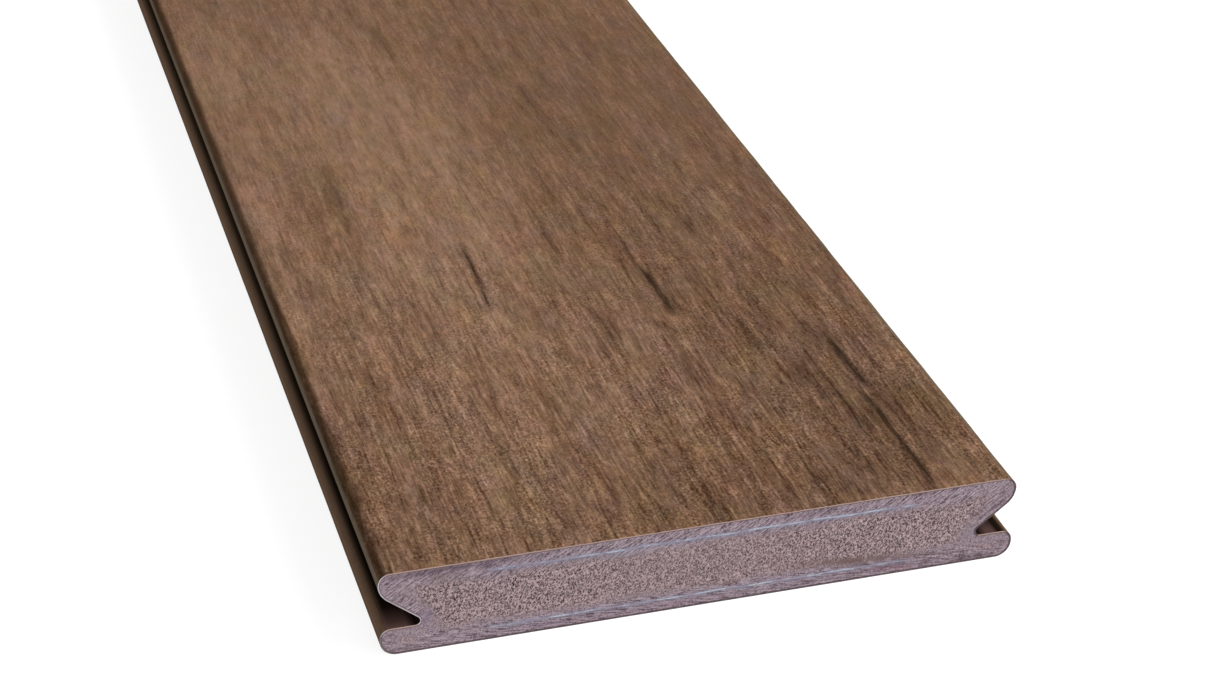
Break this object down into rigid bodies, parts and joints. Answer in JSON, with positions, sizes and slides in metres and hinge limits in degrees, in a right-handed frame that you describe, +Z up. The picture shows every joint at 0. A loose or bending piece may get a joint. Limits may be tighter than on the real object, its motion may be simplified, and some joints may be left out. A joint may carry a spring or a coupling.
{
  "type": "grooved composite decking board",
  "caption": "Grooved-edge composite decking board: wood-grain cap all round a foamed core with glass-fibre mats, and clip grooves along both edges.",
  "frame": {"origin": "middle of the underside, where the board rests", "axes": "+X across the board, +Y along its length, +Z up through the walking face"},
  "size_m": [0.14, 2.4, 0.02],
  "materials": {
    "cap": "co-extruded polymer cap, brown, embossed wood grain, matt with a slight sheen",
    "core": "foamed polymer composite, mauve-grey, sawn at both ends",
    "glass_mat": "resin-bonded glass-fibre mat, pale bluish white"
  },
  "bodies": {
    "root": {"cap_layer": "cap", "foam_core": "core", "upper_glass_mat": "glass_mat", "lower_glass_mat": "glass_mat"}
  },
  "joints": []
}
